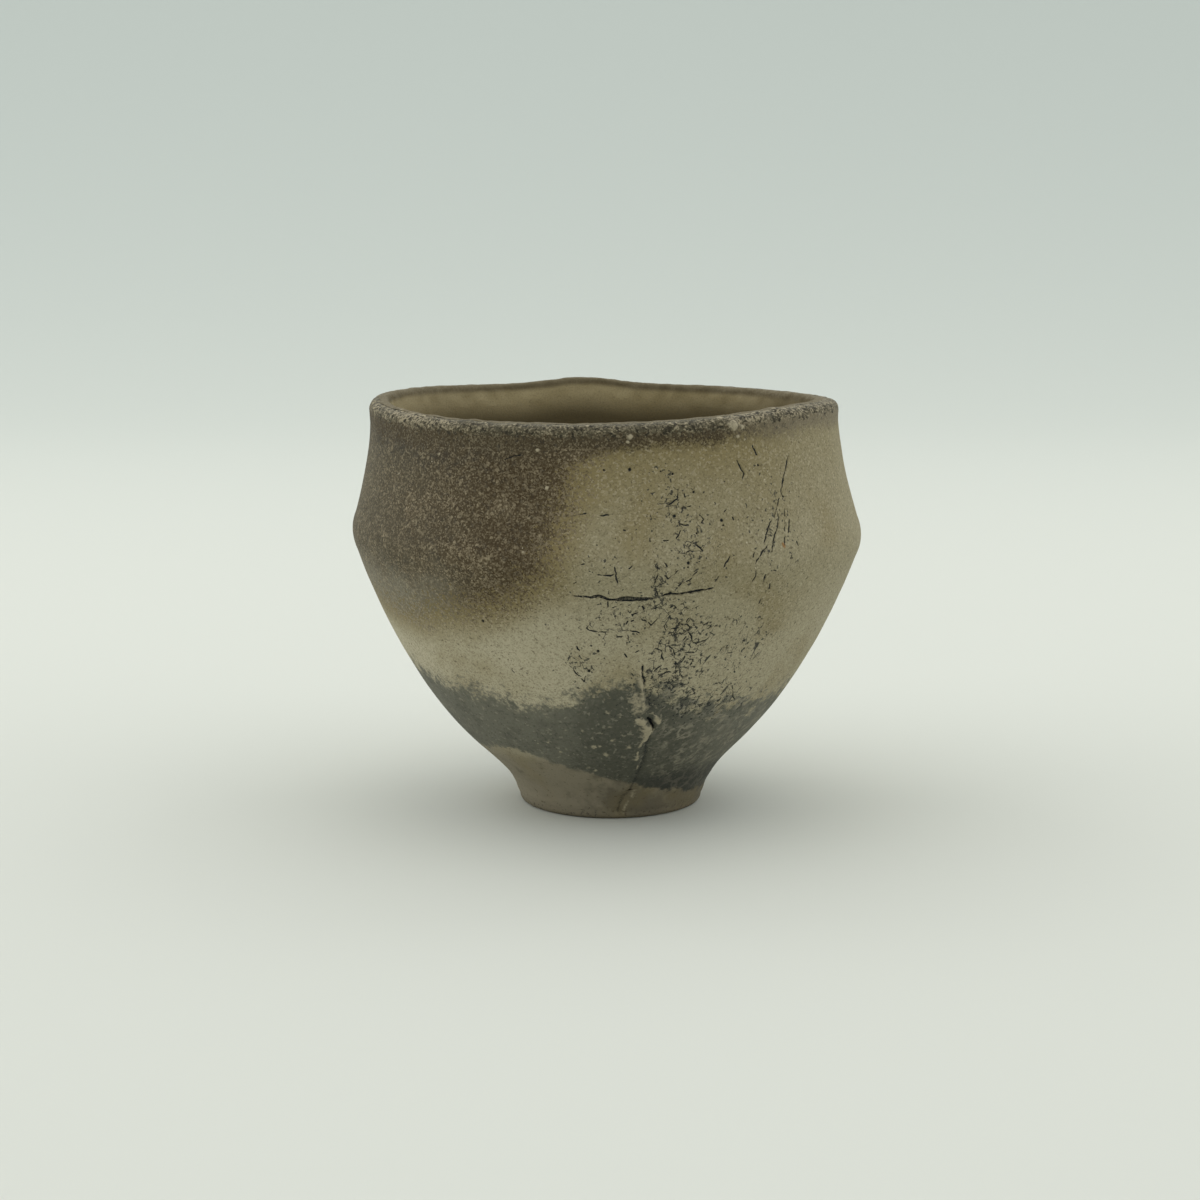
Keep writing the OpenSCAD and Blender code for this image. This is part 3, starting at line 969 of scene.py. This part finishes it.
wall_lumps = [(440, 454), (537, 442), (532, 479), (547, 488), (517, 437)]
strand = (0.09, -0.18, 0.95)
wall_pit = (0.15, -0.28, 1.0)
wall_lump = (0.22, 0.12, 1.0)
wall_cracks = [(keel_crack_right, 0.14, -0.40, 1.0)]
wall_cracks += [(route, *hairline) for route in wall_hairlines]
wall_cracks += [(route, *strand) for route in wall_strands]
wall_cracks += [([place], *wall_pit) for place in wall_pits]
upper_wall = formed(turned("upper_wall_clay", wall_outline))
parted(upper_wall, crack_top, split_shade=0)
scored(upper_wall, [([place], *wall_lump) for place in wall_lumps], coarse_face)
scored(upper_wall, wall_cracks, fine_face)
fired(upper_wall)
finished(upper_wall, fired_clay("wall_clay"))
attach(upper_wall, "root")
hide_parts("upper_wall")


# Lip coil
# A coil laid along the wall's upper edge and pressed over it with the fingers. Its crest is rough and
# grey with sand that the fire laid bare, and below it runs a dark line of smoke and painted shade.
lip_side = (lip_r + 0.02, 51.0)
lip_shoulder = (lip_r + 0.06, 52.4)
lip_crest = (28.9, lip_z)
lip_brim = (27.7, lip_z + 0.12)
lip_inner_edge = (lip_r - lip_t, lip_z + 0.10)
lip_inside = (lip_r - lip_t, 51.6)

lip_outline = (
    straight(lip_foot, lip_side, 4)
    + bent(lip_side, lip_shoulder, lip_crest, 12)
    + straight(lip_crest, lip_brim, 4)
    + bent(lip_brim, lip_inner_edge, lip_inside, 6)
    + straight(lip_inside, lip_foot_inside, 4)
    + straight(lip_foot_inside, lip_foot, 6)
)
# Pale stones in the lip and swells of its clay: each a pixel and a half width in mm
lip_stones = [
    (720, 420, 0.34), (727, 424, 0.26), (733, 426, 0.50), (741, 427, 0.30), (737, 436, 0.32),
    (744, 439, 0.26), (713, 423, 0.20), (630, 437, 0.36), (628, 442, 0.22), (423, 417, 0.30),
    (432, 418, 0.24), (411, 413, 0.22), (403, 411, 0.30), (556, 425, 0.22), (486, 424, 0.20),
    (516, 426, 0.24), (588, 428, 0.20),
]
lip_swells = [
    (776, 410, 0.9), (801, 406, 0.8), (757, 413, 0.6), (642, 423, 0.6), (470, 422, 0.7), (418, 416, 0.7),
]
stone_rise_share = 0.6
stone_tint = 0.9
swell_rise_share = 0.25
lip_marks = [
    ([(x, y)], half_width, stone_rise_share * half_width, stone_tint) for x, y, half_width in lip_stones
]
lip_marks += [([(x, y)], half_width, swell_rise_share * half_width, 0) for x, y, half_width in lip_swells]
lip_coil = formed(turned("lip_coil_clay", lip_outline))
scored(lip_coil, lip_marks, coarse_face)
fired(lip_coil)
finished(lip_coil, fired_clay("lip_clay"))
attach(lip_coil, "root")
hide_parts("lip_coil")


# Floor and backdrop
# One sheet of pale paper that lies under the cup and sweeps up behind it. It is not part of the cup,
# and its colour darkens softly with distance, a painted falloff of light.
sweep_front = -2.2
sweep_start = 0.45
sweep_r = 0.5
sweep_top = 1.3
sweep_half_w = 2.4
paper = tone(211, 213, 205)
paper_far_shade = tone(178, 185, 180)
shade_fade_start = 0.05
shade_fade_end = 0.90

bpy.ops.object.select_all(action="DESELECT")
bpy.ops.mesh.primitive_plane_add(size=1)
floor = bpy.context.object
floor.name = "paper_sweep"
for vertex, (x, y) in zip(floor.data.vertices, [(-1, 0), (1, 0), (-1, 1), (1, 1)]):
    vertex.co = (x * sweep_half_w, sweep_front + y * (sweep_start - sweep_front), 0)
bpy.ops.object.mode_set(mode="EDIT")
bpy.ops.mesh.select_mode(type="EDGE")
bpy.ops.mesh.select_all(action="DESELECT")
bpy.ops.object.mode_set(mode="OBJECT")
for edge in floor.data.edges:
    edge.select = all(floor.data.vertices[end].co.y > 0 for end in edge.vertices)
bpy.ops.object.mode_set(mode="EDIT")
bpy.ops.mesh.spin(
    steps=24, angle=math.radians(-90), center=(0, sweep_start, sweep_r), axis=(1, 0, 0)
)
bpy.ops.mesh.extrude_region_move(TRANSFORM_OT_translate={"value": (0, 0, sweep_top - sweep_r)})
bpy.ops.object.mode_set(mode="OBJECT")
bpy.ops.object.shade_smooth()

paper_finish = bpy.data.materials.new("paper")
paper_finish.use_nodes = True
paper_shader = paper_finish.node_tree.nodes["Principled BSDF"]
paper_place = paper_finish.node_tree.nodes.new("ShaderNodeTexCoord")
paper_depth = paper_finish.node_tree.nodes.new("ShaderNodeSeparateXYZ")
# Painted shade: the paper's colour darkens towards the back and up the sweep.
paper_shade_fade = paper_finish.node_tree.nodes.new("ShaderNodeMapRange")
paper_shade_fade.interpolation_type = "SMOOTHSTEP"
paper_shade_fade.inputs["From Min"].default_value = shade_fade_start
paper_shade_fade.inputs["From Max"].default_value = shade_fade_end
paper_mix = paper_finish.node_tree.nodes.new("ShaderNodeMix")
paper_mix.data_type = "RGBA"
paper_mix.inputs[6].default_value = paper
paper_mix.inputs[7].default_value = paper_far_shade
paper_links = paper_finish.node_tree.links
paper_links.new(paper_place.outputs["Object"], paper_depth.inputs[0])
paper_links.new(paper_depth.outputs["Y"], paper_shade_fade.inputs["Value"])
paper_links.new(paper_shade_fade.outputs[0], paper_mix.inputs[0])
paper_links.new(paper_mix.outputs[2], paper_shader.inputs["Base Color"])
paper_shader.inputs["Roughness"].default_value = 0.9
paper_shader.inputs["Specular IOR Level"].default_value = 0.1
floor.data.materials.append(paper_finish)


# Light
# Four soft boxes: one behind the cup, one at each side and one overhead. Pale walls all round throw
# their light back as a faintly green glow.
wall_tint = (0.93, 0.97, 0.95, 1)
wall_glow = 0.49
scene = bpy.context.scene
scene.view_settings.view_transform = "Standard"
scene.world = bpy.data.worlds.new("studio")
scene.world.use_nodes = True
background = scene.world.node_tree.nodes["Background"]
background.inputs["Color"].default_value = wall_tint
background.inputs["Strength"].default_value = wall_glow


def soft_box(name, place, aim, wide, tall, watts):
    """A lamp behind a white cloth, which shines from its place towards a point."""
    lamp = bpy.data.lights.new(name, "AREA")
    lamp.shape = "RECTANGLE"
    lamp.size = wide
    lamp.size_y = tall
    lamp.energy = watts
    box = bpy.data.objects.new(name, lamp)
    box.location = place
    box.rotation_euler = (Vector(aim) - Vector(place)).to_track_quat("-Z", "Y").to_euler()
    scene.collection.objects.link(box)


cup_middle = (0, 0, 0.03)
soft_box("back_box", (0, 0.65, 0.70), cup_middle, wide=1.5, tall=0.7, watts=3.8)
soft_box("left_box", (-0.75, 0.05, 0.55), cup_middle, wide=1.3, tall=1.0, watts=4.3)
soft_box("right_box", (0.75, 0.05, 0.55), cup_middle, wide=1.3, tall=1.0, watts=3.3)
soft_box("top_box", (0, -0.15, 0.90), cup_middle, wide=1.0, tall=1.0, watts=1.8)
